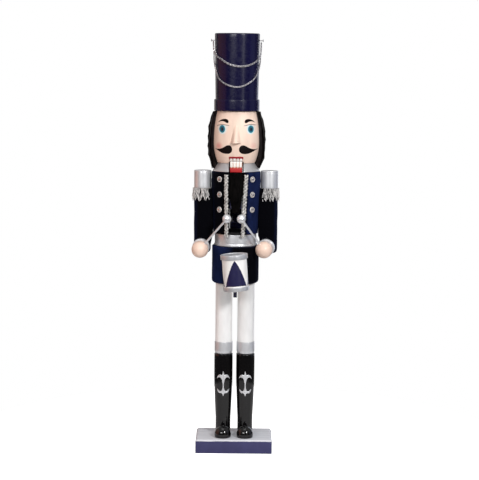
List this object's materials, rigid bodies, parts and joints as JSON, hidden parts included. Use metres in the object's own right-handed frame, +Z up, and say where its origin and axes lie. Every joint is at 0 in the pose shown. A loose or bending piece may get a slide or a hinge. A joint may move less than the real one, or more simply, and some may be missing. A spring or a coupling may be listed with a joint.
{
  "type": "nutcracker figure",
  "caption": "Tall standing nutcracker drummer with a cylindrical hat on a rectangular base; a rear lever opens the jaw and both arms swing forward at the shoulder.",
  "frame": {"origin": "on the underside of the base block, on the upright axis of the figure", "axes": "+Z up, the figure faces -Y, +X is the right-hand side of a viewer in front of it"},
  "size_m": [0.126, 0.1148, 0.6],
  "materials": {
    "base_enamel": "satin enamel, silver-lavender top",
    "white_enamel": "satin enamel",
    "boot_enamel": "gloss enamel",
    "hat_enamel": "gloss enamel",
    "lever_enamel": "gloss enamel",
    "drum_enamel": "satin enamel with painted triangles",
    "flesh_enamel": "gloss enamel",
    "bare_wood": "sanded, unfinished",
    "silver_paint": "silver metallic paint, satin",
    "coat_velvet": "short-pile velvet",
    "black_fur": "long-pile imitation fur",
    "silver_braid": "twisted metallic thread",
    "chain_metal": "bright plated",
    "stud_metal": "faceted, bright",
    "pin_steel": "plain"
  },
  "bodies": {
    "figure": {"base_block": "base_enamel", "base_screws": "pin_steel", "boot_left": "boot_enamel", "boot_right": "boot_enamel", "toe_cap_left": "boot_enamel", "toe_cap_right": "boot_enamel", "boot_cuff_left": "silver_paint", "boot_cuff_right": "silver_paint", "trouser_leg_left": "white_enamel", "trouser_leg_right": "white_enamel", "leg_dowels": "bare_wood", "skirt_core": "bare_wood", "skirt_cloth": "coat_velvet", "body_dowel": "bare_wood", "belt": "silver_paint", "chest_core": "bare_wood", "coat_cloth_left": "coat_velvet", "coat_cloth_right": "coat_velvet", "collar_left": "silver_paint", "collar_right": "silver_paint", "head_dowels": "bare_wood", "head": "flesh_enamel", "nose": "flesh_enamel", "hair": "black_fur", "hat_dowel": "bare_wood", "hat_band": "hat_enamel", "hat_crown": "hat_enamel", "chain_nails": "chain_metal", "chain_upper": "chain_metal", "chain_lower": "chain_metal", "coat_braid_left": "silver_braid", "coat_braid_right": "silver_braid", "coat_buttons": "stud_metal", "drum_shell": "drum_enamel", "drum_rim_top": "silver_paint", "drum_rim_bottom": "silver_paint", "drum_peg": "bare_wood", "jaw_pin": "pin_steel", "shoulder_pins": "pin_steel"},
    "jaw": {"jaw_lever": "lever_enamel", "beard": "black_fur"},
    "arm_left": {"arm_core_left": "bare_wood", "forearm_left": "bare_wood", "sleeve_left": "coat_velvet", "epaulette_left": "silver_paint", "epaulette_fringe_left": "silver_braid", "cuff_left": "silver_paint", "hand_left": "flesh_enamel", "drumstick_left": "silver_paint", "stick_ball_left": "silver_paint"},
    "arm_right": {"arm_core_right": "bare_wood", "forearm_right": "bare_wood", "sleeve_right": "coat_velvet", "epaulette_right": "silver_paint", "epaulette_fringe_right": "silver_braid", "cuff_right": "silver_paint", "hand_right": "flesh_enamel", "drumstick_right": "silver_paint", "stick_ball_right": "silver_paint"}
  },
  "joints": [
    {"name": "jaw_hinge", "type": "hinge", "parent": "figure", "child": "jaw", "pos_m": [0, -0.006, 0.362], "axis": [1, 0, 0], "range_deg": [0, 18]},
    {"name": "shoulder_left", "type": "hinge", "parent": "figure", "child": "arm_left", "pos_m": [-0.0479, 0, 0.39], "axis": [-1, 0, 0], "range_deg": [0, 90]},
    {"name": "shoulder_right", "type": "hinge", "parent": "figure", "child": "arm_right", "pos_m": [0.0479, 0, 0.39], "axis": [-1, 0, 0], "range_deg": [0, 90]}
  ]
}
